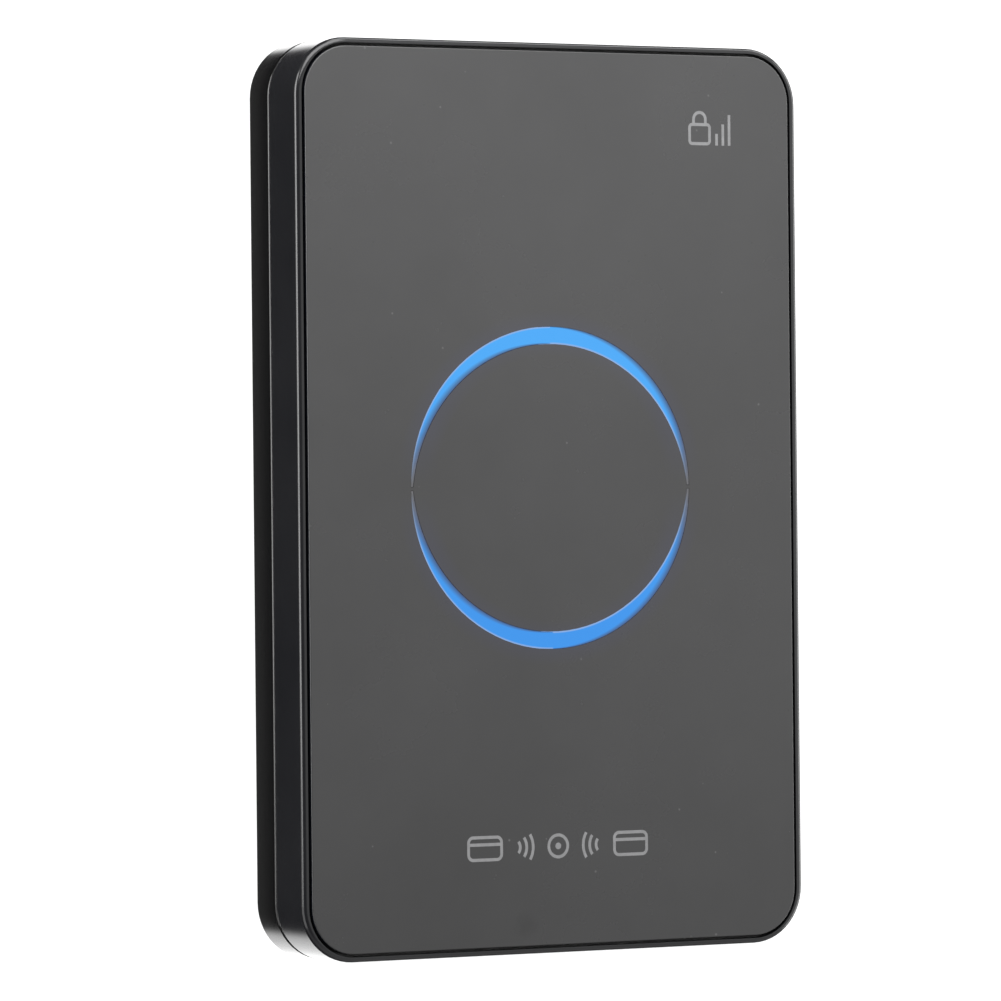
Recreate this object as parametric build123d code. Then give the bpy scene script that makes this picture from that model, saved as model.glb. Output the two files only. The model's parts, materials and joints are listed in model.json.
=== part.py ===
from build123d import *
import math
import os

# A slim desktop RFID card reader: two moulded shells around one circuit board.
# Millimetres.  The reader lies on its rubber feet: +Z is the normal of the face that a card is held to,
# +Y runs along the body towards the socket end, and the origin is at the middle of the footprint.

# ---- outer body -------------------------------------------------------------------------------
LENGTH = 103.6
WIDTH = 66.0
CORNER = 6.5
BODY_THICKNESS = 11.0
FOOT_PROUD = 0.4
WALL = 1.8
RIM_FILLET = 0.55
BACK_FILLET = 0.3
PARTING_FILLET = 0.34
PARTING_BREAK = 0.12
UPPER_HEIGHT = 6.2
PARTING_GAP = 0.2

# ---- heights, from the feet upwards -----------------------------------------------------------
Z_BACK = FOOT_PROUD
Z_RIM = Z_BACK + BODY_THICKNESS
Z_UPPER_EDGE = Z_RIM - UPPER_HEIGHT
Z_COVER_EDGE = Z_UPPER_EDGE - PARTING_GAP
FLOOR = 1.5
Z_FLOOR = Z_BACK + FLOOR
PANEL_PROUD = 0.15
PANEL_THICKNESS = 1.4
ADHESIVE = 0.15
DECK = 1.2
Z_PANEL_TOP = Z_RIM + PANEL_PROUD
Z_PANEL = Z_PANEL_TOP - PANEL_THICKNESS
Z_DECK_TOP = Z_PANEL - ADHESIVE
Z_DECK = Z_DECK_TOP - DECK
BOARD = 1.0
Z_BOARD = 5.4
Z_BOARD_TOP = Z_BOARD + BOARD

# ---- panel in the rim -------------------------------------------------------------------------
LIP_SIDE = 0.82
LIP_END = 0.61
GROOVE = 0.36
PANEL_FILLET = 0.12

# ---- print in the panel's face ----------------------------------------------------------------
PRINT = 0.02
STROKE = 0.36
SYMBOL_ROW_Y = -39.6
CARD_X = 9.6
CARD_WIDTH = 4.66
CARD_HEIGHT = 2.9
CARD_CORNER = 0.78
CARD_STRIPE = 0.45
WAVE_X = 4.6
WAVE_FOCUS = 1.4
WAVE_RADII = (1.0, 1.85, 2.7)
WAVE_ANGLES = (40.0, 36.0, 32.0)
TARGET_RADIUS = 1.25
TARGET_DOT = 0.38
LOCK_X = 19.8
LOCK_Y = 41.75
LOCK_WIDTH = 3.06
LOCK_HEIGHT = 2.56
LOCK_CORNER = 0.53
SHACKLE_RADIUS = 0.8
SHACKLE_RISE = 1.7
BAR_X = 22.1
BAR_PITCH = 0.85
BAR_HEIGHTS = (1.35, 2.45, 3.55)

# ---- tongue and rebate between the shells -----------------------------------------------------
REBATE_WALL = 0.9
TONGUE_CLEARANCE = 0.1
TONGUE_HEIGHT = 1.2
REBATE_HEIGHT = 1.4

# ---- light ring -------------------------------------------------------------------------------
RING_X = -0.42
RING_Y = 1.15
RING_RADIUS = 18.35
MOON_WIDTH = 2.0
MOON_TIP = 0.22
MOON_TIP_ANGLE = 0.6
MOON_RECESS = 0.02
MOON_CLEARANCE = 0.04
GUIDE_PLATE = 0.9
GUIDE_INNER = 14.5
GUIDE_OUTER = 21.0
GUIDE_RIB_GAP = 0.2
GUIDE_RIB = 0.9
LED_COUNT = 12
LED_RADIUS = 17.8

# ---- housing screws, at the four corners ------------------------------------------------------
SCREW_X = 26.8
SCREW_Y = 45.8
SCREW_RADIUS = 1.0
SCREW_HOLE = 1.25
SCREW_PILOT = 1.05
SCREW_HEAD_RADIUS = 2.0
SCREW_HEAD = 1.3
SCREW_TIP = 8.2
Z_SCREW_SEAT = 2.4
COUNTERBORE = 2.3
COVER_BOSS = 3.3
UPPER_BOSS = 2.5
BOSS_GAP = 0.1
RIB = 1.0

# ---- board and its screws ---------------------------------------------------------------------
BOARD_WIDTH = 61.0
BOARD_LENGTH = 99.2
BOARD_CORNER = 4.5
BOARD_NOTCH = 3.8
BOARD_SCREW_X = 17.5
BOARD_SCREW_Y = 40.0
BOARD_SCREW_RADIUS = 0.8
BOARD_SCREW_PILOT = 0.85
BOARD_SCREW_HOLE = 1.1
BOARD_SCREW_HEAD_RADIUS = 1.6
BOARD_SCREW_HEAD = 1.0
BOARD_SCREW_TIP = 8.3
BOARD_BOSS = 2.1

# ---- antenna spiral ---------------------------------------------------------------------------
COIL_HALF_WIDTH = 28.6
COIL_HALF_LENGTH = 35.5
COIL_TURNS = 4
COIL_PITCH = 1.5
COIL_TRACK = 0.9
COIL_COPPER = 0.07

# ---- micro-B socket at the +Y end -------------------------------------------------------------
SOCKET_WIDTH = 7.6
SOCKET_NECK = 5.6
SOCKET_HEIGHT = 2.6
SOCKET_DEPTH = 5.6
SOCKET_SHEET = 0.25
SOCKET_CLEARANCE = 0.3
Y_SOCKET_MOUTH = LENGTH / 2 - 0.2

# ---- feet, label and sound holes on the back --------------------------------------------------
FOOT_X = 23.5
FOOT_Y = 35.5
FOOT_RADIUS = 4.0
FOOT_RECESS = 0.6
LABEL_WIDTH = 36.0
LABEL_LENGTH = 24.0
LABEL_Y = 4.0
LABEL_RECESS = 0.2
LABEL_THICKNESS = 0.12
BUZZER_X = 10.0
BUZZER_Y = -41.0
BUZZER_SIZE = 8.5
BUZZER_HEIGHT = 3.0
SOUND_HOLE = 0.6
SOUND_CIRCLE = 2.6
SOUND_HOLES = 6


# ---- helpers ----------------------------------------------------------------------------------
def slab(outline, low, high, x=0.0, y=0.0):
    """A flat outline made solid between two heights."""
    return extrude(Pos(x, y, low) * outline, high - low)


def rounded_slab(inset, low, high):
    """The body's own outline, drawn in by inset, between two heights."""
    radius = CORNER - inset
    outline = RectangleRounded(WIDTH - 2 * inset, LENGTH - 2 * inset, radius)
    return slab(outline, low, high)


def recess_slab(inset, low, high):
    """The outline of the recess that holds the panel, drawn in by inset, between two heights."""
    width = WIDTH - 2 * (LIP_SIDE + inset)
    length = LENGTH - 2 * (LIP_END + inset)
    return slab(RectangleRounded(width, length, CORNER - LIP_SIDE - inset), low, high)


def post(x, y, radius, low, high):
    """A round post or hole."""
    return slab(Circle(radius), low, high, x, y)


def block(x, y, width, length, low, high):
    """A square-cornered block centred on x and y."""
    return slab(Rectangle(width, length), low, high, x, y)


def corners(x, y):
    """The four mirror images of a place."""
    return [(x, y), (-x, y), (-x, -y), (x, -y)]


def group(solids):
    """Separate solids kept in one node."""
    return Compound(children=list(solids))


def moon(side, grow=0.0):
    """One light window: the upper moon for side +1, the lower one for side -1."""
    shift = MOON_WIDTH - MOON_TIP
    hollow = Pos(0, -side * shift) * Circle(RING_RADIUS - MOON_TIP - grow)
    cut = RING_RADIUS * math.sin(math.radians(MOON_TIP_ANGLE)) - grow
    half = Rectangle(3 * RING_RADIUS, 2 * RING_RADIUS)
    keep = Pos(0, side * (cut + RING_RADIUS)) * half
    return (Circle(RING_RADIUS + grow) - hollow) & keep


def moons(low, high, grow=0.0):
    """Both moons as solids between two heights, at the ring's place."""
    return [slab(moon(side, grow), low, high, RING_X, RING_Y) for side in (1, -1)]


def socket_opening():
    """The clear space in the end wall in front of the socket."""
    width = SOCKET_WIDTH + 2 * SOCKET_CLEARANCE
    low = Z_BOARD - SOCKET_HEIGHT - SOCKET_CLEARANCE
    high = Z_BOARD + SOCKET_CLEARANCE
    return block(0, LENGTH / 2, width, 2 * WALL + 1.0, low, high)


# ---- housing ----------------------------------------------------------------------------------
def make_upper_shell():
    """Side walls, deck under the panel, rim around it, bosses and ribs below."""
    shell = rounded_slab(0, Z_UPPER_EDGE, Z_RIM)
    shell = fillet(shell.edges().group_by(Axis.Z)[-1], RIM_FILLET)
    shell = fillet(shell.edges().group_by(Axis.Z)[0], PARTING_BREAK)
    shell -= recess_slab(0, Z_DECK_TOP, Z_RIM + 1)
    shell -= rounded_slab(WALL, Z_UPPER_EDGE - 1, Z_DECK)
    shell -= rounded_slab(REBATE_WALL, Z_UPPER_EDGE - 1, Z_UPPER_EDGE + REBATE_HEIGHT)
    for x, y in corners(SCREW_X, SCREW_Y):
        side_x = math.copysign(1, x)
        side_y = math.copysign(1, y)
        reach_x = WIDTH / 2 - WALL - SCREW_X
        reach_y = LENGTH / 2 - WALL - SCREW_Y
        foot = Z_UPPER_EDGE + REBATE_HEIGHT
        shell += post(x, y, UPPER_BOSS, Z_COVER_EDGE + TONGUE_HEIGHT, Z_DECK)
        shell += block(x + side_x * reach_x / 2, y, reach_x + 0.2, RIB, foot, Z_DECK)
        shell += block(x, y + side_y * reach_y / 2, RIB, reach_y + 0.2, foot, Z_DECK)
        shell -= post(x, y, SCREW_PILOT, Z_UPPER_EDGE, Z_DECK)
    for x, y in corners(BOARD_SCREW_X, BOARD_SCREW_Y):
        shell += post(x, y, BOARD_BOSS, Z_BOARD_TOP, Z_DECK)
        shell -= post(x, y, BOARD_SCREW_PILOT, Z_BOARD_TOP, Z_DECK)
    rib_inner = GUIDE_OUTER + GUIDE_RIB_GAP
    rib_ring = Circle(rib_inner + GUIDE_RIB) - Circle(rib_inner)
    shell += slab(rib_ring, Z_DECK - GUIDE_PLATE, Z_DECK, RING_X, RING_Y)
    for slot in moons(Z_DECK - 1, Z_DECK_TOP + 1, 2 * MOON_CLEARANCE):
        shell -= slot
    return shell - socket_opening()


def make_back_cover():
    """Floor, low walls with a tongue on top, screw tubes, ribs and the recesses on the back."""
    cover = rounded_slab(0, Z_BACK, Z_COVER_EDGE)
    cover = fillet(cover.edges().group_by(Axis.Z)[-1], PARTING_FILLET)
    cover = fillet(cover.edges().group_by(Axis.Z)[0], BACK_FILLET)
    tongue_top = Z_COVER_EDGE + TONGUE_HEIGHT
    cover += rounded_slab(REBATE_WALL + TONGUE_CLEARANCE, Z_FLOOR, tongue_top)
    cover -= rounded_slab(WALL, Z_FLOOR, tongue_top + 1)
    for y in (-22.0, 30.0):
        cover += block(0, y, WIDTH - 2 * WALL, RIB, Z_FLOOR, Z_FLOOR + 1.0)
    for x in (-20.0, 20.0):
        cover += block(x, 0, RIB, LENGTH - 2 * WALL - 2, Z_FLOOR, Z_FLOOR + 1.0)
    for x, y in corners(SCREW_X, SCREW_Y):
        cover += post(x, y, COVER_BOSS, Z_FLOOR, tongue_top - BOSS_GAP)
        cover -= post(x, y, SCREW_HOLE, Z_BACK, tongue_top)
        cover -= post(x, y, COUNTERBORE, Z_BACK, Z_SCREW_SEAT)
    for x, y in corners(FOOT_X, FOOT_Y):
        cover -= post(x, y, FOOT_RADIUS + 0.1, Z_BACK, Z_BACK + FOOT_RECESS)
    label = RectangleRounded(LABEL_WIDTH + 0.6, LABEL_LENGTH + 0.6, 1.3)
    cover -= slab(label, Z_BACK, Z_BACK + LABEL_RECESS, 0, LABEL_Y)
    cover -= post(BUZZER_X, BUZZER_Y, SOUND_HOLE, Z_BACK, Z_FLOOR)
    for index in range(SOUND_HOLES):
        angle = math.tau * index / SOUND_HOLES
        x = BUZZER_X + SOUND_CIRCLE * math.cos(angle)
        y = BUZZER_Y + SOUND_CIRCLE * math.sin(angle)
        cover -= post(x, y, SOUND_HOLE, Z_BACK, Z_FLOOR)
    return cover - socket_opening()


def round_line(radius):
    """A circle drawn with the print's stroke."""
    return Circle(radius + STROKE / 2) - Circle(radius - STROKE / 2)


def box_line(width, height, radius):
    """A rounded rectangle drawn with the print's stroke inside its outline."""
    inner = RectangleRounded(width - 2 * STROKE, height - 2 * STROKE, radius - STROKE)
    return RectangleRounded(width, height, radius) - inner


def ink(shapes):
    """One film for each flat shape, flush with the panel's face."""
    return [slab(shape, Z_PANEL_TOP - PRINT, Z_PANEL_TOP) for shape in shapes]


def card_symbol(x):
    """A card seen flat: rounded outline with a stripe across it."""
    stripe = Pos(0, CARD_STRIPE) * Rectangle(CARD_WIDTH - STROKE, STROKE)
    return Pos(x, SYMBOL_ROW_Y) * (box_line(CARD_WIDTH, CARD_HEIGHT, CARD_CORNER) + stripe)


def wave_symbols(x, side):
    """Three short arcs that spread away from a point on one side."""
    arcs = []
    for radius, angle in zip(WAVE_RADII, WAVE_ANGLES):
        reach = 2 * radius
        rise = reach * math.tan(math.radians(angle))
        wedge = make_face(Polyline((0, 0), (reach, -rise), (reach, rise), (0, 0)))
        turn = 0 if side > 0 else 180
        place = Pos(x - side * WAVE_FOCUS, SYMBOL_ROW_Y) * Rot(0, 0, turn)
        arcs.append(place * (round_line(radius) & wedge))
    return arcs


def symbol_row():
    """Films of the line of symbols: card, waves, target, waves, card."""
    target = [Pos(0, SYMBOL_ROW_Y) * round_line(TARGET_RADIUS), Pos(0, SYMBOL_ROW_Y) * Circle(TARGET_DOT)]
    cards = [card_symbol(-CARD_X), card_symbol(CARD_X)]
    return ink(cards + wave_symbols(-WAVE_X, 1) + wave_symbols(WAVE_X, -1) + target)


def corner_mark():
    """Films of a padlock beside three rising bars."""
    body = box_line(LOCK_WIDTH, LOCK_HEIGHT, LOCK_CORNER)
    reach = SHACKLE_RADIUS + STROKE
    bow = round_line(SHACKLE_RADIUS) & (Pos(0, reach / 2) * Rectangle(2 * reach, reach))
    foot = (LOCK_HEIGHT - STROKE) / 2
    leg = Rectangle(STROKE, SHACKLE_RISE - foot)
    lock = body + Pos(0, SHACKLE_RISE) * bow
    for side in (-1, 1):
        lock += Pos(side * SHACKLE_RADIUS, (SHACKLE_RISE + foot) / 2) * leg
    shapes = [Pos(LOCK_X, LOCK_Y) * lock]
    base = LOCK_Y - LOCK_HEIGHT / 2
    for index, height in enumerate(BAR_HEIGHTS):
        bar = Rectangle(STROKE, height)
        shapes.append(Pos(BAR_X + index * BAR_PITCH, base + height / 2) * bar)
    return ink(shapes)


def make_front_panel():
    """Tinted sheet that drops into the rim, with both moon windows cut through and beds for the print."""
    panel = recess_slab(GROOVE, Z_PANEL, Z_PANEL_TOP)
    panel = fillet(panel.edges().group_by(Axis.Z)[-1], PANEL_FILLET)
    for window in moons(Z_PANEL - 1, Z_PANEL_TOP + 1):
        panel -= window
    for film in symbol_row() + corner_mark():
        panel -= film
    return panel


def make_symbol_row():
    """The printed line of symbols near the lower edge."""
    return group(symbol_row())


def make_corner_mark():
    """The printed mark in the upper right-hand corner."""
    return group(corner_mark())


def make_panel_adhesive():
    """Die-cut adhesive sheet between the deck and the panel."""
    sheet = recess_slab(2.5 * GROOVE, Z_DECK_TOP, Z_PANEL)
    ring = Circle(GUIDE_OUTER - 1.0) - Circle(GUIDE_INNER + 1.0)
    return sheet - slab(ring, Z_DECK_TOP - 1, Z_PANEL + 1, RING_X, RING_Y)


def make_light_guide():
    """Frosted plate under the deck whose two moons stand up into the panel's windows."""
    ring = Circle(GUIDE_OUTER) - Circle(GUIDE_INNER)
    guide = slab(ring, Z_DECK - GUIDE_PLATE, Z_DECK, RING_X, RING_Y)
    for lens in moons(Z_DECK - GUIDE_PLATE / 2, Z_PANEL_TOP - MOON_RECESS, -MOON_CLEARANCE):
        guide += lens
    return guide


def make_housing_screws():
    """Pan-head screws with cross slots, driven from the back."""
    screws = []
    for x, y in corners(SCREW_X, SCREW_Y):
        head = post(x, y, SCREW_HEAD_RADIUS, Z_SCREW_SEAT - SCREW_HEAD, Z_SCREW_SEAT)
        head = fillet(head.edges().group_by(Axis.Z)[0], 0.5)
        for width, length in ((2.2, 0.55), (0.55, 2.2)):
            low = Z_SCREW_SEAT - SCREW_HEAD - 1
            head -= block(x, y, width, length, low, low + 1.8)
        shank = post(x, y, SCREW_RADIUS, Z_SCREW_SEAT, SCREW_TIP)
        shank = chamfer(shank.edges().group_by(Axis.Z)[-1], 0.5)
        screws.append(head + shank)
    return group(screws)


def make_rubber_feet():
    """Domed pads glued into round recesses on the back."""
    feet = []
    for x, y in corners(FOOT_X, FOOT_Y):
        foot = post(x, y, FOOT_RADIUS, 0, Z_BACK + FOOT_RECESS)
        feet.append(fillet(foot.edges().group_by(Axis.Z)[0], 0.3))
    return group(feet)


def make_rating_label():
    """Blank foil label in its recess on the back."""
    outline = RectangleRounded(LABEL_WIDTH, LABEL_LENGTH, 1.0)
    top = Z_BACK + LABEL_RECESS
    return slab(outline, top - LABEL_THICKNESS, top, 0, LABEL_Y)


# ---- board and what is soldered to it ---------------------------------------------------------
def make_circuit_board():
    """Glass-epoxy board with notches for the corner screws and holes for its own screws."""
    board = slab(RectangleRounded(BOARD_WIDTH, BOARD_LENGTH, BOARD_CORNER), Z_BOARD, Z_BOARD_TOP)
    for x, y in corners(SCREW_X, SCREW_Y):
        notch = Circle(BOARD_NOTCH)
        board -= slab(notch, Z_BOARD, Z_BOARD_TOP, x, y)
        board -= block(x + math.copysign(4, x), y + math.copysign(4, y), 8, 8, Z_BOARD, Z_BOARD_TOP)
    for x, y in corners(BOARD_SCREW_X, BOARD_SCREW_Y):
        board -= post(x, y, BOARD_SCREW_HOLE, Z_BOARD, Z_BOARD_TOP)
    return board


def make_board_screws():
    """Short screws that hold the board to the deck's bosses from below."""
    screws = []
    for x, y in corners(BOARD_SCREW_X, BOARD_SCREW_Y):
        head = post(x, y, BOARD_SCREW_HEAD_RADIUS, Z_BOARD - BOARD_SCREW_HEAD, Z_BOARD)
        head = fillet(head.edges().group_by(Axis.Z)[0], 0.4)
        low = Z_BOARD - BOARD_SCREW_HEAD - 1
        for width, length in ((1.8, 0.45), (0.45, 1.8)):
            head -= block(x, y, width, length, low, low + 1.6)
        screws.append(head + post(x, y, BOARD_SCREW_RADIUS, Z_BOARD, BOARD_SCREW_TIP))
    return group(screws)


def make_antenna_coil():
    """Rectangular copper spiral on the board's upper face, one track wide throughout."""
    points = [(-COIL_HALF_WIDTH, COIL_HALF_LENGTH + COIL_PITCH)]
    for turn in range(COIL_TURNS):
        half_x = COIL_HALF_WIDTH - turn * COIL_PITCH
        half_y = COIL_HALF_LENGTH - turn * COIL_PITCH
        points.append((-half_x, -half_y))
        points.append((half_x, -half_y))
        points.append((half_x, half_y))
        points.append((-half_x + COIL_PITCH, half_y))
    solids = []
    for start, end in zip(points, points[1:]):
        middle_x = (start[0] + end[0]) / 2
        middle_y = (start[1] + end[1]) / 2
        run_x = abs(end[0] - start[0]) + COIL_TRACK
        run_y = abs(end[1] - start[1]) + COIL_TRACK
        solids.append(block(middle_x, middle_y, run_x, run_y, Z_BOARD_TOP, Z_BOARD_TOP + COIL_COPPER))
    coil = solids[0]
    for solid in solids[1:]:
        coil += solid
    return coil


def chip(x, y, width, length, stand_off, height):
    """A moulded package with chamfered upper edges and a dot at its first pin."""
    low = Z_BOARD_TOP + stand_off
    body = block(x, y, width, length, low, low + height)
    body = chamfer(body.edges().group_by(Axis.Z)[-1], 0.1)
    return body - post(x - 0.32 * width, y + 0.32 * length, 0.3, low + height - 0.08, low + height)


READER_CHIP = (-9.0, 43.5, 5.0, 5.0)
CONTROLLER = (4.5, 42.5, 7.0, 7.0)
MEMORY = (-12.5, -45.2, 4.9, 3.9)
REGULATOR = (8.0, -42.0, 3.0, 1.6)


def make_reader_chip():
    """Leadless radio front end that drives the antenna."""
    x, y, width, length = READER_CHIP
    return chip(x, y, width, length, 0.0, 0.85)


def make_microcontroller():
    """Quad flat package that talks to the host over the socket."""
    x, y, width, length = CONTROLLER
    return chip(x, y, width, length, 0.1, 1.4)


def make_memory_chip():
    """Small-outline memory that keeps the reader's settings."""
    x, y, width, length = MEMORY
    return chip(x, y, width, length, 0.15, 1.35)


def make_voltage_regulator():
    """Small regulator that feeds the chips from the bus supply."""
    x, y, width, length = REGULATOR
    return chip(x, y, width, length, 0.1, 1.0)


def gull_wing(x, y, angle, width, shoulder):
    """One bent lead: pad on the board, riser and shoulder into the package's side."""
    sheet = 0.15
    outline = make_face(Polyline(
        (0.3, 0), (0.9, 0), (0.9, sheet), (0.45, sheet), (0.45, shoulder + sheet),
        (0, shoulder + sheet), (0, shoulder), (0.3, shoulder), (0.3, 0)))
    lead = extrude(Plane.XZ * outline, width / 2, both=True)
    return Pos(x, y, Z_BOARD_TOP) * Rot(0, 0, angle) * lead


def make_chip_leads():
    """All the gull-wing leads of the leaded packages."""
    leads = []
    x, y, width, length = CONTROLLER
    for index in range(8):
        along = (index - 3.5) * 0.8
        leads.append(gull_wing(x + width / 2, y + along, 0, 0.35, 0.7))
        leads.append(gull_wing(x - width / 2, y + along, 180, 0.35, 0.7))
        leads.append(gull_wing(x + along, y + length / 2, 90, 0.35, 0.7))
        leads.append(gull_wing(x + along, y - length / 2, -90, 0.35, 0.7))
    x, y, width, length = MEMORY
    for index in range(4):
        along = (index - 1.5) * 1.27
        leads.append(gull_wing(x + along, y + length / 2, 90, 0.4, 0.7))
        leads.append(gull_wing(x + along, y - length / 2, -90, 0.4, 0.7))
    x, y, width, length = REGULATOR
    for along in (-0.95, 0.0, 0.95):
        leads.append(gull_wing(x + along, y - length / 2, -90, 0.4, 0.5))
    for along in (-0.95, 0.95):
        leads.append(gull_wing(x + along, y + length / 2, 90, 0.4, 0.5))
    return group(leads)


def make_crystal():
    """Metal can crystal with a stepped base."""
    base = slab(RectangleRounded(5.0, 3.2, 0.4), Z_BOARD_TOP, Z_BOARD_TOP + 0.5, -18.5, 46.0)
    can = slab(RectangleRounded(4.5, 2.7, 0.6), Z_BOARD_TOP + 0.5, Z_BOARD_TOP + 1.0, -18.5, 46.0)
    can = fillet(can.edges().group_by(Axis.Z)[-1], 0.2)
    return base + can


def make_buzzer():
    """Square beeper under the board, with its mouth towards the holes in the cover."""
    low = Z_BOARD - BUZZER_HEIGHT
    case = slab(RectangleRounded(BUZZER_SIZE, BUZZER_SIZE, 1.0), low, Z_BOARD, BUZZER_X, BUZZER_Y)
    case = fillet(case.edges().group_by(Axis.Z)[0], 0.3)
    return case - post(BUZZER_X, BUZZER_Y, 1.2, low, low + 0.8)


def make_matching_inductors():
    """Two wound-chip inductors between the radio chip and the antenna."""
    solids = []
    for x in (-13.5, -4.6):
        coil = slab(RectangleRounded(2.0, 2.5, 0.3), Z_BOARD_TOP, Z_BOARD_TOP + 1.2, x, 38.2)
        solids.append(chamfer(coil.edges().group_by(Axis.Z)[-1], 0.12))
    return group(solids)


def make_bulk_capacitor():
    """Moulded tantalum capacitor on the supply."""
    body = block(2.5, -42.0, 3.5, 2.8, Z_BOARD_TOP, Z_BOARD_TOP + 1.6)
    return chamfer(body.edges().group_by(Axis.Z)[-1], 0.15)


def small_parts(places, width, length, height):
    """A row of small ceramic parts, each a separate solid."""
    solids = []
    for x, y in places:
        solid = block(x, y, width, length, Z_BOARD_TOP, Z_BOARD_TOP + height)
        solids.append(chamfer(solid.edges().group_by(Axis.Z)[-1], 0.06))
    return group(solids)


def make_ceramic_capacitors():
    """Decoupling and tuning capacitors."""
    tuning = [(-11.0 + 1.5 * index, 38.6) for index in range(4)]
    decoupling = [(10.6, 45.0 - 1.6 * index) for index in range(4)]
    supply = [(-3.0 - 2.0 * index, -42.0) for index in range(4)]
    return small_parts(tuning + decoupling + supply, 0.8, 1.25, 0.8)


def make_chip_resistors():
    """Resistors: one beside each lamp of the ring and a row by the controller."""
    places = [(12.6 + 1.3 * index, 46.5) for index in range(5)]
    for index in range(LED_COUNT):
        angle = math.tau * (index + 0.5) / LED_COUNT
        reach = LED_RADIUS - 5.0
        places.append((RING_X + reach * math.cos(angle), RING_Y + reach * math.sin(angle)))
    return small_parts(places, 0.6, 1.1, 0.4)


def make_ring_leds():
    """Lamps under the light guide, evenly spaced around the ring."""
    solids = []
    for index in range(LED_COUNT):
        angle = 360.0 * (index + 0.5) / LED_COUNT
        base = slab(Rectangle(2.0, 1.2), 0, 0.35)
        lens = slab(Rectangle(1.3, 1.0), 0.35, 0.85)
        lens = chamfer(lens.edges().group_by(Axis.Z)[-1], 0.12)
        place = Pos(RING_X, RING_Y, Z_BOARD_TOP) * Rot(0, 0, angle) * Pos(LED_RADIUS, 0, 0)
        solids.append(place * (base + lens))
    return group(solids)


# ---- socket -----------------------------------------------------------------------------------
def socket_outline(inset):
    """The socket's mouth: wide next to the board, narrower below with slanted shoulders."""
    half = SOCKET_WIDTH / 2 - inset
    neck = SOCKET_NECK / 2 - inset * 0.6
    top = -inset
    bottom = -SOCKET_HEIGHT + inset
    shoulder = -SOCKET_HEIGHT * 0.55
    return make_face(Polyline(
        (-half, top), (half, top), (half, shoulder), (neck, bottom),
        (-neck, bottom), (-half, shoulder), (-half, top)))


def socket_prism(inset, start, end):
    """The socket's outline run along Y from start to end."""
    plane = Plane(origin=(0, end, Z_BOARD), x_dir=(1, 0, 0), z_dir=(0, -1, 0))
    return extrude(plane * socket_outline(inset), end - start)


def make_usb_receptacle():
    """Folded steel shell of the socket, with two solder ears on the board."""
    rear = Y_SOCKET_MOUTH - SOCKET_DEPTH
    shell = socket_prism(0, rear, Y_SOCKET_MOUTH)
    shell -= socket_prism(SOCKET_SHEET, rear - 1, Y_SOCKET_MOUTH + 1)
    for side in (-1, 1):
        x = side * (SOCKET_WIDTH / 2 + 0.45)
        shell += block(x, rear + 1.6, 1.1, 1.6, Z_BOARD - SOCKET_SHEET, Z_BOARD)
    return shell


def make_usb_tongue():
    """Plastic insert: a block at the back of the socket and the flat tongue that a plug closes round."""
    rear = Y_SOCKET_MOUTH - SOCKET_DEPTH
    insert = socket_prism(SOCKET_SHEET, rear, rear + 1.6)
    tongue = block(0, rear + 3.0, 3.8, 3.2, Z_BOARD - 1.35, Z_BOARD - 0.75)
    return insert + tongue


def make_usb_contacts():
    """Five contact strips under the tongue."""
    rear = Y_SOCKET_MOUTH - SOCKET_DEPTH
    strips = []
    for index in range(5):
        x = (index - 2) * 0.65
        strips.append(block(x, rear + 3.0, 0.3, 2.8, Z_BOARD - 1.45, Z_BOARD - 1.35))
    return group(strips)


NODES = {
    "upper_shell": make_upper_shell,
    "back_cover": make_back_cover,
    "front_panel": make_front_panel,
    "symbol_row": make_symbol_row,
    "corner_mark": make_corner_mark,
    "panel_adhesive": make_panel_adhesive,
    "light_guide": make_light_guide,
    "circuit_board": make_circuit_board,
    "antenna_coil": make_antenna_coil,
    "reader_chip": make_reader_chip,
    "microcontroller": make_microcontroller,
    "memory_chip": make_memory_chip,
    "voltage_regulator": make_voltage_regulator,
    "chip_leads": make_chip_leads,
    "crystal": make_crystal,
    "buzzer": make_buzzer,
    "matching_inductors": make_matching_inductors,
    "bulk_capacitor": make_bulk_capacitor,
    "ceramic_capacitors": make_ceramic_capacitors,
    "chip_resistors": make_chip_resistors,
    "ring_leds": make_ring_leds,
    "usb_receptacle": make_usb_receptacle,
    "usb_tongue": make_usb_tongue,
    "usb_contacts": make_usb_contacts,
    "housing_screws": make_housing_screws,
    "board_screws": make_board_screws,
    "rubber_feet": make_rubber_feet,
    "rating_label": make_rating_label,
}

os.makedirs("parts", exist_ok=True)
for name, make in NODES.items():
    export_step(make(), f"parts/{name}.step")
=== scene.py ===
"""Looks of the card reader: materials for the CAD nodes, studio and camera.

Metres, in the row frame: +Z out of the panel, +Y towards the socket end, feet on z = 0.
"""
import json
import math

import bmesh
import bpy
from mathutils import Matrix, Vector


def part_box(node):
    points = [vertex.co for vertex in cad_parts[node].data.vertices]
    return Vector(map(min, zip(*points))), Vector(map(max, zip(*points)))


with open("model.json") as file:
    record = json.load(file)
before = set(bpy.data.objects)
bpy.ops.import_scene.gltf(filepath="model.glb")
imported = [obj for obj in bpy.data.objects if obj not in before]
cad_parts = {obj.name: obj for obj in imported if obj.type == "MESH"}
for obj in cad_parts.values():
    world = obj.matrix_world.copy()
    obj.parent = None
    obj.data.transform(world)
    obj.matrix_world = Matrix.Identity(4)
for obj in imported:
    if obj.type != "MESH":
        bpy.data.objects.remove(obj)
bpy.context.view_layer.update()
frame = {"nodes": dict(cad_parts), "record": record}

MM = 0.001
NODES = frame["nodes"]
PANEL_LOW, PANEL_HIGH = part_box("front_panel")
PANEL_TOP = PANEL_HIGH.z
PANEL_ENDS = (PANEL_LOW.y, PANEL_HIGH.y)
GUIDE_LOW, GUIDE_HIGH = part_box("light_guide")
RING_CENTRE = (GUIDE_LOW + GUIDE_HIGH) / 2

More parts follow.
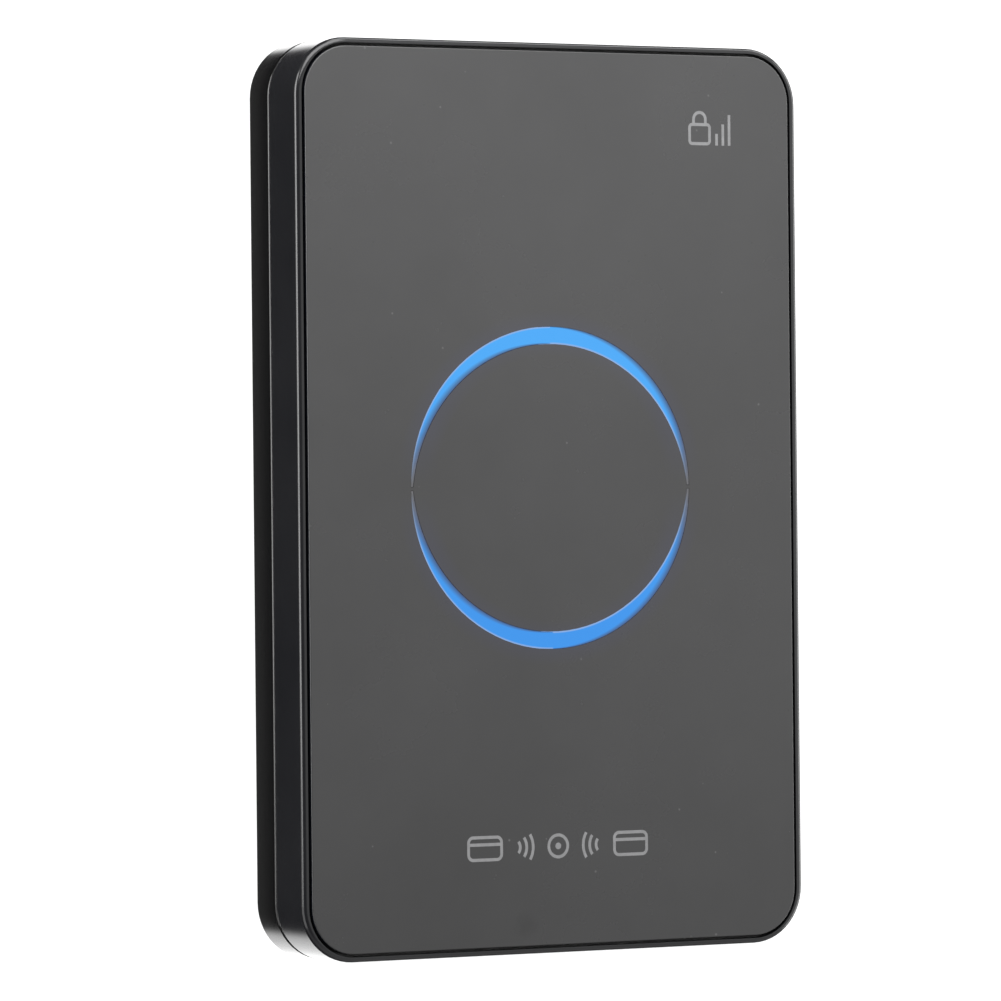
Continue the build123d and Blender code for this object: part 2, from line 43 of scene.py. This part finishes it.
# ---- heights on the housing: how its two shells are coloured from the feet up -------------------
COVER_BACK = 0.5 * MM
# height and fade of the painted shade band at the cover's back edge
DARK_EDGE_HEIGHT = 0.62 * MM
DARK_EDGE_FADE = 0.15 * MM
COVER_EDGE = 5.0 * MM
CLEAR_OF_COVER = COVER_EDGE + 1.0 * MM
RIM_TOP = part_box("upper_shell")[1].z
BELOW_RIM = RIM_TOP - 0.7 * MM

# ---- the two bands of the light ring, between an outer circle and a shifted inner one -----------
BAND_OUTER = 18.35 * MM
BAND_HOLLOW = 18.13 * MM
BAND_SHIFT = 1.78 * MM
BAND_RADIUS = 17.6 * MM
TIP_DARK = 0.6 * MM
TIP_LIT = 6.5 * MM
# reach of the blue glow painted on the panel round the ring
PAINTED_GLOW_FULL = 0.9 * MM
PAINTED_GLOW_END = 2.6 * MM
# width of the painted shade at each band's right edge
SHADE_NARROW = 0.12 * MM
SHADE_WIDE = 0.95 * MM
# width of the painted highlight along each band's left edge
HIGHLIGHT_LINE = 0.10 * MM
HIGHLIGHT_LINE_END = 0.22 * MM
GLOW_REACH = 14.0 * MM

# ---- a thumb mark near the panel's lower edge ---------------------------------------------------
SMUDGE = (-4.4 * MM, -48.3 * MM)
SMUDGE_CORE = 0.2 * MM
SMUDGE_EDGE = 1.8 * MM
SMUDGE_RAGGED = 0.5 * MM
SMUDGE_STRENGTH = 0.35

# ---- camera: how the object is looked at ------------------------------------------------------
CAMERA_YAW = 30.0
CAMERA_PITCH = 0.05
CAMERA_ROLL = 0.55
CAMERA_DISTANCE = 0.768
CAMERA_LENS = 242.7
AIM_BELOW_PANEL = 0.25 * MM
OBJECT_RIGHT_OF_AXIS = 6.07 * MM
OBJECT_ABOVE_AXIS = 0.30 * MM


def make_camera():
    """Long lens, looking at the panel from its left, at the angle of the pictured view."""
    data = bpy.data.cameras.new("camera")
    data.lens = CAMERA_LENS
    data.sensor_width = 36.0
    data.clip_start = 0.01
    data.clip_end = 20.0
    camera = bpy.data.objects.new("camera", data)
    bpy.context.scene.collection.objects.link(camera)
    turn = (Matrix.Rotation(math.radians(CAMERA_ROLL), 3, "Z")
            @ Matrix.Rotation(math.radians(CAMERA_PITCH), 3, "X")
            @ Matrix.Rotation(math.radians(CAMERA_YAW), 3, "Y")).transposed()
    aim = Vector((0, 0, PANEL_TOP - AIM_BELOW_PANEL))
    place = aim + turn @ Vector((-OBJECT_RIGHT_OF_AXIS, -OBJECT_ABOVE_AXIS, CAMERA_DISTANCE))
    camera.matrix_world = Matrix.Translation(place) @ turn.to_4x4()
    bpy.context.scene.camera = camera


# ---- node helpers -----------------------------------------------------------------------------
def new_material(name):
    """Empty node material with a Principled shader; returns the material, its tree and the shader."""
    material = bpy.data.materials.new(name)
    material.use_nodes = True
    tree = material.node_tree
    return material, tree, tree.nodes["Principled BSDF"]


def add(tree, kind, inputs=None, **settings):
    """One node with its settings and unlinked inputs."""
    node = tree.nodes.new(kind)
    for key, value in settings.items():
        setattr(node, key, value)
    for key, value in (inputs or {}).items():
        node.inputs[key].default_value = value
    return node


def object_coordinates(tree):
    """Output socket with the point in metres in the row frame."""
    return add(tree, "ShaderNodeTexCoord").outputs["Object"]


def noise(tree, scale, detail=2.0, roughness=0.5):
    """Noise at a scale given in cells per metre."""
    node = add(tree, "ShaderNodeTexNoise", {"Scale": scale, "Detail": detail, "Roughness": roughness})
    tree.links.new(object_coordinates(tree), node.inputs["Vector"])
    return node.outputs["Fac"]


def remap(tree, value, low, high, to_low, to_high):
    """Linear change of range, held at the ends."""
    node = add(tree, "ShaderNodeMapRange", {"From Min": low, "From Max": high,
                                            "To Min": to_low, "To Max": to_high})
    tree.links.new(value, node.inputs["Value"])
    return node.outputs["Result"]


def blend(tree, factor, first, second):
    """Colour between two colours or sockets."""
    node = add(tree, "ShaderNodeMix", data_type="RGBA")
    tree.links.new(factor, node.inputs["Factor"])
    for socket, value in ((node.inputs[6], first), (node.inputs[7], second)):
        if isinstance(value, bpy.types.NodeSocket):
            tree.links.new(value, socket)
        else:
            socket.default_value = (*value, 1.0)
    return node.outputs[2]


def combine(tree, operation, first, second):
    """Arithmetic on two sockets or numbers."""
    node = add(tree, "ShaderNodeMath", operation=operation)
    for socket, value in zip(node.inputs, (first, second)):
        if isinstance(value, bpy.types.NodeSocket):
            tree.links.new(value, socket)
        else:
            socket.default_value = value
    return node.outputs[0]


def specks(tree, scale, share, radius):
    """1 inside sparse round specks: share is the part of the cells that hold one, radius is in cells."""
    cells = add(tree, "ShaderNodeTexVoronoi", {"Scale": scale})
    tree.links.new(object_coordinates(tree), cells.inputs["Vector"])
    chosen = add(tree, "ShaderNodeSeparateColor")
    tree.links.new(cells.outputs["Color"], chosen.inputs["Color"])
    picked = combine(tree, "LESS_THAN", chosen.outputs["Red"], share)
    near = remap(tree, cells.outputs["Distance"], radius * 0.6, radius, 1.0, 0.0)
    return combine(tree, "MULTIPLY", picked, near)


def bump(tree, shader, height, strength, distance):
    """Bump from a height socket; distance in metres."""
    node = add(tree, "ShaderNodeBump", {"Strength": strength, "Distance": distance})
    tree.links.new(height, node.inputs["Height"])
    tree.links.new(node.outputs["Normal"], shader.inputs["Normal"])


def position(tree):
    """Sockets with the point's x, y and z in metres."""
    split = add(tree, "ShaderNodeSeparateXYZ")
    tree.links.new(object_coordinates(tree), split.inputs["Vector"])
    return split.outputs["X"], split.outputs["Y"], split.outputs["Z"]


def distance_in_plane(tree, x, y):
    """Length of the vector (x, y)."""
    squares = combine(tree, "ADD", combine(tree, "MULTIPLY", x, x), combine(tree, "MULTIPLY", y, y))
    return combine(tree, "SQRT", squares, 0.0)


def upward(tree):
    """1 on faces that look up, 0 on upright walls."""
    split = add(tree, "ShaderNodeSeparateXYZ")
    tree.links.new(add(tree, "ShaderNodeNewGeometry").outputs["Normal"], split.inputs["Vector"])
    return remap(tree, split.outputs["Z"], 0.10, 0.35, 0.0, 1.0)


# ---- materials --------------------------------------------------------------------------------
def shell_plastic():
    """Black moulded ABS: polished, cloudy and a little dusty, dull in the groove round the panel; painted
    shading makes the cover darker towards the parting line and paler towards its back, a painted dark
    band sits at the cover's back edge, and the groove floor is painted grey as painted light.
    """
    material, tree, shader = new_material("shell_plastic")
    cloud = remap(tree, noise(tree, 90.0, 3.0), 0.3, 0.7, 0.0, 1.0)
    base = blend(tree, cloud, (0.0078, 0.0080, 0.0090), (0.0104, 0.0106, 0.0116))
    height = position(tree)[2]
    # painted shading: the cover is painted darker towards the parting line and paler towards its back
    # edge
    cover_painted_shading = remap(tree, height, COVER_BACK, COVER_EDGE, 1.0, 0.0)
    cover = blend(tree, cover_painted_shading, (0.0028, 0.0028, 0.0028), (0.0130, 0.0130, 0.0127))
    base = blend(tree, combine(tree, "LESS_THAN", height, COVER_EDGE), base, cover)
    # painted shade: a near-black band painted just above the cover's back edge
    painted_dark_edge = remap(tree, height, DARK_EDGE_HEIGHT, DARK_EDGE_HEIGHT + DARK_EDGE_FADE, 1.0, 0.0)
    base = blend(tree, painted_dark_edge, base, (0.0012, 0.0012, 0.0012))
    # the groove floor round the panel is made dull, and painted mid grey instead of the shell's black:
    # painted light setting how bright the recess looks
    sunk = combine(tree, "LESS_THAN", height, BELOW_RIM)
    above_cover = combine(tree, "GREATER_THAN", height, CLEAR_OF_COVER)
    groove_dull_and_painted = combine(tree, "MULTIPLY", combine(tree, "MULTIPLY", sunk, above_cover), upward(tree))
    base = blend(tree, groove_dull_and_painted, base, (0.11, 0.11, 0.11))
    dust = specks(tree, 210.0, 0.10, 0.014)
    tree.links.new(blend(tree, dust, base, (0.42, 0.42, 0.40)), shader.inputs["Base Color"])
    polish = remap(tree, noise(tree, 260.0, 3.0), 0.3, 0.7, 0.13, 0.17)
    rough = combine(tree, "ADD", polish, combine(tree, "MULTIPLY", dust, 0.5))
    rough = combine(tree, "MAXIMUM", rough, combine(tree, "MULTIPLY", groove_dull_and_painted, 0.95))
    tree.links.new(rough, shader.inputs["Roughness"])
    shader.inputs["IOR"].default_value = 1.50
    bump(tree, shader, noise(tree, 5200.0, 2.0), 0.035, 0.00001)
    return material


def panel_plastic():
    """Grey coated sheet: painted paler towards +Y as painted light, specked and thumb-marked, with a
    painted blue glow round the ring and painted shade on its side edges.
    """
    material, tree, shader = new_material("panel_plastic")
    cloud = noise(tree, 45.0, 4.0, 0.6)
    x, y, _ = position(tree)
    clouded = remap(tree, cloud, 0.3, 0.7, 0.0, 0.25)
    # painted light: the sheet is painted paler towards +Y
    painted_light_towards_top = remap(tree, y, *PANEL_ENDS, 0.0, 0.75)
    paler = combine(tree, "ADD", clouded, painted_light_towards_top)
    base = blend(tree, paler, (0.0245, 0.0245, 0.0248), (0.0460, 0.0460, 0.0465))
    dark = specks(tree, 900.0, 0.10, 0.12)
    base = blend(tree, combine(tree, "MULTIPLY", dark, 0.35), base, (0.02, 0.02, 0.02))
    light = specks(tree, 620.0, 0.05, 0.10)
    base = blend(tree, combine(tree, "MULTIPLY", light, 0.5), base, (0.12, 0.12, 0.12))
    dust = specks(tree, 150.0, 0.10, 0.012)
    base = blend(tree, dust, base, (0.5, 0.5, 0.48))
    smudge_x = combine(tree, "SUBTRACT", x, SMUDGE[0])
    smudge_y = combine(tree, "SUBTRACT", y, SMUDGE[1])
    from_smudge = distance_in_plane(tree, smudge_x, smudge_y)
    ragged = remap(tree, noise(tree, 900.0, 3.0), 0.3, 0.7, -SMUDGE_RAGGED, SMUDGE_RAGGED)
    from_smudge = combine(tree, "ADD", from_smudge, ragged)
    in_smudge = remap(tree, from_smudge, SMUDGE_CORE, SMUDGE_EDGE, 1.0, 0.0)
    smudged = combine(tree, "MULTIPLY", in_smudge, SMUDGE_STRENGTH)
    base = blend(tree, smudged, base, (0.012, 0.012, 0.012))
    # painted shade: the sheet's side edges facing the groove are painted near black
    top_vs_shaded_edge = upward(tree)
    tree.links.new(blend(tree, top_vs_shaded_edge, (0.004, 0.005, 0.008), base), shader.inputs["Base Color"])
    # painted light: a blue glow painted into the sheet's emission round the ring, as if cast by the ring
    across = combine(tree, "SUBTRACT", x, RING_CENTRE.x)
    along = combine(tree, "SUBTRACT", y, RING_CENTRE.y)
    reach = distance_in_plane(tree, across, along)
    away = combine(tree, "ABSOLUTE", combine(tree, "SUBTRACT", reach, BAND_RADIUS), 0.0)
    near = remap(tree, away, PAINTED_GLOW_FULL, PAINTED_GLOW_END, 1.0, 0.0)
    lit = remap(tree, combine(tree, "ABSOLUTE", along, 0.0), TIP_DARK, TIP_LIT, 0.0, 1.0)
    painted_glow = combine(tree, "MULTIPLY", near, lit)
    painted_glow_colour = blend(tree, painted_glow, (0.0, 0.0, 0.0), (0.0, 0.001, 0.014))
    tree.links.new(painted_glow_colour, shader.inputs["Emission Color"])
    shader.inputs["Emission Strength"].default_value = 1.0
    handling = noise(tree, 70.0, 5.0, 0.65)
    tree.links.new(remap(tree, handling, 0.35, 0.7, 0.24, 0.29), shader.inputs["Roughness"])
    shader.inputs["IOR"].default_value = 1.49
    bump(tree, shader, noise(tree, 4200.0, 2.0), 0.08, 0.00001)
    return material


def light_plastic():
    """Frosted guide: blue light that fades at the tips, with painted shade towards each band's right edge
    and a painted highlight along its left edge.
    """
    material, tree, shader = new_material("light_plastic")
    x, y, _ = position(tree)
    across = combine(tree, "SUBTRACT", x, RING_CENTRE.x)
    along = combine(tree, "SUBTRACT", y, RING_CENTRE.y)
    reach = distance_in_plane(tree, across, along)
    height = combine(tree, "ABSOLUTE", along, 0.0)
    inner_reach = distance_in_plane(tree, across, combine(tree, "ADD", height, BAND_SHIFT))
    from_outer = combine(tree, "SUBTRACT", BAND_OUTER, reach)
    from_inner = combine(tree, "SUBTRACT", inner_reach, BAND_HOLLOW)
    right = combine(tree, "GREATER_THAN", across, 0.0)
    left = combine(tree, "SUBTRACT", 1.0, right)
    from_right = combine(tree, "ADD", combine(tree, "MULTIPLY", right, from_outer),
                         combine(tree, "MULTIPLY", left, from_inner))
    from_left = combine(tree, "ADD", combine(tree, "MULTIPLY", left, from_outer),
                        combine(tree, "MULTIPLY", right, from_inner))
    # painted shade: the glow is darkened towards each band's right edge
    slant = combine(tree, "DIVIDE", combine(tree, "ABSOLUTE", across, 0.0), reach)
    painted_shade_width = remap(tree, slant, 0.0, 1.0, SHADE_NARROW, SHADE_WIDE)
    painted_shade = combine(tree, "MINIMUM", combine(tree, "DIVIDE", from_right, painted_shade_width), 1.0)
    lit = remap(tree, height, TIP_DARK, TIP_LIT, 0.0, 1.0)
    glow_top = remap(tree, along, -GLOW_REACH, GLOW_REACH, 0.0, 1.0)
    blue = blend(tree, glow_top, (0.001, 0.243, 0.755), (0.022, 0.338, 0.846))
    with_painted_shade = blend(tree, painted_shade, (0.018, 0.030, 0.085), blue)
    # painted highlight: a pale line painted along each band's left edge
    painted_highlight = remap(tree, from_left, HIGHLIGHT_LINE, HIGHLIGHT_LINE_END, 1.0, 0.0)
    with_painted_highlight = blend(tree, combine(tree, "MULTIPLY", painted_highlight, 0.9), with_painted_shade, (0.24, 0.38, 0.66))
    tree.links.new(blend(tree, lit, (0.0, 0.0, 0.004), with_painted_highlight), shader.inputs["Emission Color"])
    shader.inputs["Emission Strength"].default_value = 1.0
    grain = remap(tree, noise(tree, 1500.0, 2.0), 0.3, 0.7, 0.0, 1.0)
    frost = blend(tree, grain, (0.070, 0.070, 0.072), (0.085, 0.085, 0.088))
    tree.links.new(blend(tree, lit, frost, (0.012, 0.020, 0.035)), shader.inputs["Base Color"])
    shader.inputs["Roughness"].default_value = 0.35
    bump(tree, shader, grain, 0.10, 0.00001)
    return material


def printed_ink():
    """Pale screen-print ink with a slightly uneven film."""
    material, tree, shader = new_material("printed_ink")
    film = noise(tree, 1400.0, 3.0)
    thin = remap(tree, film, 0.3, 0.7, 0.0, 1.0)
    tint = blend(tree, thin, (0.160, 0.160, 0.163), (0.190, 0.190, 0.193))
    tree.links.new(tint, shader.inputs["Base Color"])
    tree.links.new(remap(tree, film, 0.3, 0.7, 0.38, 0.5), shader.inputs["Roughness"])
    return material


def metal(name, colour, rough_low, rough_high):
    """Metal with brushed unevenness in its polish and colour."""
    material, tree, shader = new_material(name)
    wear = noise(tree, 900.0, 4.0)
    darker = tuple(0.8 * part for part in colour)
    tree.links.new(blend(tree, wear, darker, colour), shader.inputs["Base Color"])
    tree.links.new(remap(tree, wear, 0.3, 0.7, rough_low, rough_high), shader.inputs["Roughness"])
    shader.inputs["Metallic"].default_value = 1.0
    bump(tree, shader, noise(tree, 6000.0), 0.08, 0.00001)
    return material


def moulded(name, colour, rough_low, rough_high, grain=3000.0):
    """Moulded or fired body with mottled colour and a grained skin."""
    material, tree, shader = new_material(name)
    mottle = noise(tree, 700.0, 3.0)
    paler = tuple(min(1.0, 1.25 * part) for part in colour)
    tree.links.new(blend(tree, mottle, colour, paler), shader.inputs["Base Color"])
    tree.links.new(remap(tree, mottle, 0.3, 0.7, rough_low, rough_high), shader.inputs["Roughness"])
    bump(tree, shader, noise(tree, grain), 0.2, 0.00002)
    return material


def give_materials():
    """Assigns one finished material to every CAD node by its slot in the record."""
    made = {
        "shell_plastic": shell_plastic(),
        "panel_plastic": panel_plastic(),
        "light_plastic": light_plastic(),
        "adhesive_foam": moulded("adhesive_foam", (0.02, 0.02, 0.02), 0.7, 0.8),
        "board_laminate": moulded("board_laminate", (0.01, 0.10, 0.05), 0.3, 0.4),
        "copper": metal("copper", (0.72, 0.38, 0.22), 0.25, 0.4),
        "package_plastic": moulded("package_plastic", (0.02, 0.02, 0.02), 0.5, 0.65),
        "tinned_metal": metal("tinned_metal", (0.62, 0.62, 0.60), 0.25, 0.4),
        "ferrite": moulded("ferrite", (0.09, 0.09, 0.09), 0.5, 0.65),
        "tantalum_case": moulded("tantalum_case", (0.62, 0.40, 0.08), 0.4, 0.5),
        "ceramic_body": moulded("ceramic_body", (0.45, 0.33, 0.22), 0.3, 0.4),
        "lamp_plastic": moulded("lamp_plastic", (0.80, 0.80, 0.74), 0.25, 0.4),
        "socket_steel": metal("socket_steel", (0.60, 0.60, 0.60), 0.22, 0.35),
        "gold_contact": metal("gold_contact", (0.83, 0.62, 0.28), 0.15, 0.28),
        "screw_steel": metal("screw_steel", (0.30, 0.30, 0.31), 0.25, 0.4),
        "foot_rubber": moulded("foot_rubber", (0.025, 0.025, 0.025), 0.65, 0.8, 1800.0),
        "printed_ink": printed_ink(),
        "label_foil": moulded("label_foil", (0.50, 0.50, 0.50), 0.3, 0.42, 1200.0),
    }
    slots = {part["node"]: part["material_slot"] for part in frame["record"]["subparts"]}
    for name, node in NODES.items():
        node.data.materials.clear()
        node.data.materials.append(made[slots[name]])


# ---- studio -----------------------------------------------------------------------------------
def facing(tree, direction, axis, full_angle, zero_angle):
    """1 within full_angle degrees of an axis, falling to 0 at zero_angle."""
    node = add(tree, "ShaderNodeVectorMath", operation="DOT_PRODUCT")
    node.inputs[1].default_value = Vector(axis).normalized()
    tree.links.new(direction, node.inputs[0])
    low = math.cos(math.radians(zero_angle))
    high = math.cos(math.radians(full_angle))
    return remap(tree, node.outputs["Value"], low, high, 0.0, 1.0)


def make_world():
    """What shiny faces see: above, a soft sky and a dark ceiling; below, a white backdrop and a drape."""
    world = bpy.data.worlds.new("studio")
    bpy.context.scene.world = world
    world.use_nodes = True
    tree = world.node_tree
    background = tree.nodes["Background"]
    direction = add(tree, "ShaderNodeTexCoord").outputs["Generated"]
    near_end = facing(tree, direction, (0.50, -0.60, 0.62), 36.0, 58.0)
    sky = blend(tree, near_end, (0.40, 0.40, 0.40), (0.76, 0.76, 0.76))
    overhead = facing(tree, direction, (0.83, 0.25, 0.50), 26.0, 36.0)
    sky = blend(tree, overhead, sky, (1.45, 1.45, 1.45))
    ceiling = facing(tree, direction, (-0.30, 0.0, 0.95), 24.0, 44.0)
    sky = blend(tree, ceiling, sky, (0.06, 0.06, 0.065))
    backdrop = facing(tree, direction, (0.45, -0.20, -0.87), 36.0, 42.5)
    below = blend(tree, backdrop, (0.02, 0.02, 0.023), (2.6, 2.6, 2.6))
    drape = facing(tree, direction, (0.97, 0.0, -0.24), 30.0, 42.0)
    below = blend(tree, drape, below, (0.10, 0.10, 0.10))
    split = add(tree, "ShaderNodeSeparateXYZ")
    tree.links.new(direction, split.inputs["Vector"])
    above = remap(tree, split.outputs["Z"], -0.02, 0.02, 0.0, 1.0)
    tree.links.new(blend(tree, above, below, sky), background.inputs["Color"])
    background.inputs["Strength"].default_value = 1.0


def soft_box(name, place, target, width, height, power):
    """Rectangular area light facing a point."""
    data = bpy.data.lights.new(name, "AREA")
    data.shape = "RECTANGLE"
    data.size = width
    data.size_y = height
    data.energy = power
    light = bpy.data.objects.new(name, data)
    bpy.context.scene.collection.objects.link(light)
    light.location = place
    light.rotation_mode = "QUATERNION"
    light.rotation_quaternion = (Vector(target) - Vector(place)).to_track_quat("-Z", "Y")


def make_studio():
    """White floor and soft boxes."""
    make_world()
    mesh = bmesh.new()
    bmesh.ops.create_grid(mesh, x_segments=8, y_segments=8, size=4.0)
    data = bpy.data.meshes.new("floor")
    mesh.to_mesh(data)
    mesh.free()
    floor = bpy.data.objects.new("floor", data)
    bpy.context.scene.collection.objects.link(floor)
    material, tree, shader = new_material("pale_floor")
    paint = blend(tree, noise(tree, 3.0), (0.20, 0.20, 0.20), (0.22, 0.22, 0.22))
    tree.links.new(paint, shader.inputs["Base Color"])
    shader.inputs["Roughness"].default_value = 0.9
    shader.inputs["Specular IOR Level"].default_value = 0.0
    shader.inputs["Emission Color"].default_value = (1.0, 1.0, 1.0, 1.0)
    shader.inputs["Emission Strength"].default_value = 1.0
    data.materials.append(material)
    floor.visible_glossy = False
    soft_box("key", (-0.02, 0.20, 0.19), (0, 0, 0), 0.22, 0.22, 0.90)
    soft_box("left_strip", (-0.85, 0.26, 0.31), (0, 0, 0), 0.70, 0.50, 7.0)
    soft_box("left_fill", (-0.84, -0.10, 0.22), (0, 0, 0), 1.0, 0.80, 4.2)
    soft_box("top_strip", (0.28, 0.52, 0.08), (0, 0, 0), 0.5, 0.20, 1.6)
    soft_box("right_strip", (0.85, 0.00, 0.22), (0, 0, 0), 1.0, 0.35, 4.4)


make_camera()
give_materials()
make_studio()
bpy.context.scene.view_settings.view_transform = "Standard"
